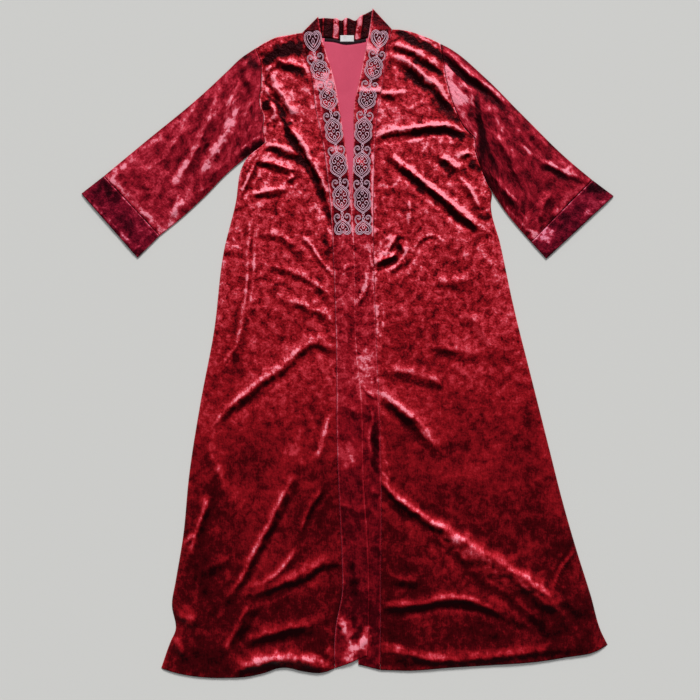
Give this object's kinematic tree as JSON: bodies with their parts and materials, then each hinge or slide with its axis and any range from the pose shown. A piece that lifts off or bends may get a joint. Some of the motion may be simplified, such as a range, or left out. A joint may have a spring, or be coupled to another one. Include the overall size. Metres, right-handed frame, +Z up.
{
  "type": "open-fronted long velvet robe laid flat",
  "caption": "Long A-line robe in crushed velvet, laid flat and open in front, with a stand collar, lapped front bands and wide cuffed sleeves.",
  "frame": {"origin": "on the floor, under the middle of the laid-out robe's box", "axes": "+Y runs from the hem to the collar, +Z is up from the floor, and the wearer's right side is at -X"},
  "size_m": [1.09, 1.3697, 0.019],
  "materials": {
    "velvet_pile": "crushed velvet pile, crimson, with a strong nap sheen",
    "velvet_wrong_side": "matt knitted wrong side of the velvet, pinkish red",
    "neck_tape": "matt dark maroon tape",
    "label_cloth": "bare white woven label",
    "embroidery_thread": "silvery lilac pink shiny thread"
  },
  "bodies": {
    "root": {"back": "velvet_wrong_side", "front_right": "velvet_pile", "front_left": "velvet_pile", "band_right": "velvet_pile", "band_left": "velvet_pile", "collar": "velvet_pile", "sleeve_right": "velvet_pile", "sleeve_left": "velvet_pile", "cuff_right": "velvet_pile", "cuff_left": "velvet_pile", "neck_tape": "neck_tape", "label": "label_cloth"}
  },
  "joints": []
}
